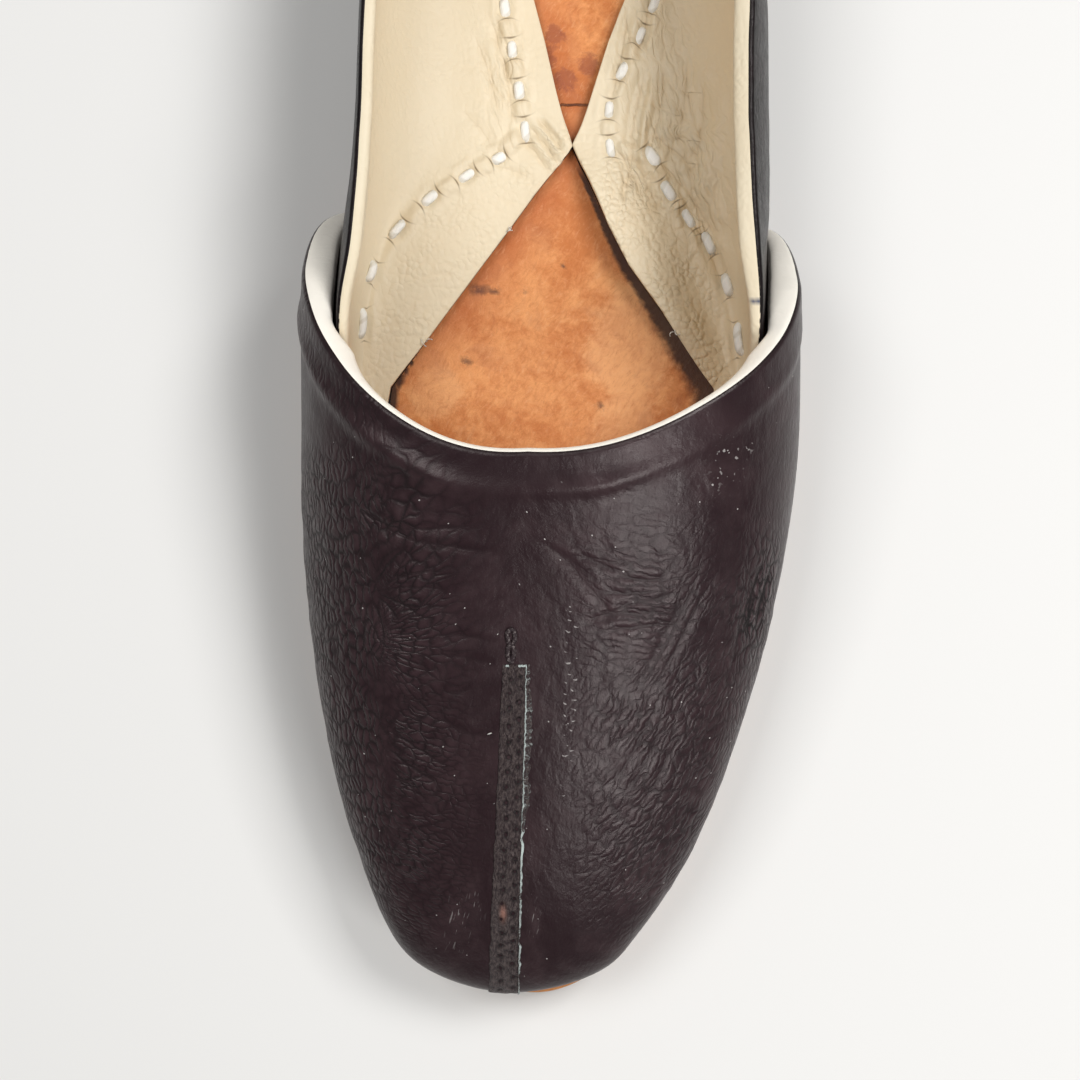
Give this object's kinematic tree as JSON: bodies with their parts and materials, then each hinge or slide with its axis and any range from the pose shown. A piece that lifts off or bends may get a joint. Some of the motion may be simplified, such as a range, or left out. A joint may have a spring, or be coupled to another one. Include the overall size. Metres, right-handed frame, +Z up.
{
  "type": "jutti",
  "caption": "Left slip-on leather jutti with a dark grained vamp, U-shaped throat, cream-lined quarter tucked inside the vamp and a flat tan leather sole.",
  "frame": {"origin": "on the floor under the middle of the shoe's bounding box", "axes": "+Z up, +Y from the toe to the heel, +X towards the outer side of the left foot"},
  "size_m": [0.1039, 0.2846, 0.061],
  "materials": {
    "outsole_leather": "matt",
    "insole_leather": "matt",
    "vamp_leather": "satin",
    "quarter_leather": "satin",
    "strip_leather": "matt"
  },
  "bodies": {
    "root": {"outsole": "outsole_leather", "insole": "insole_leather", "vamp": "vamp_leather", "quarter": "quarter_leather", "toe_seam_strip": "strip_leather"}
  },
  "joints": []
}
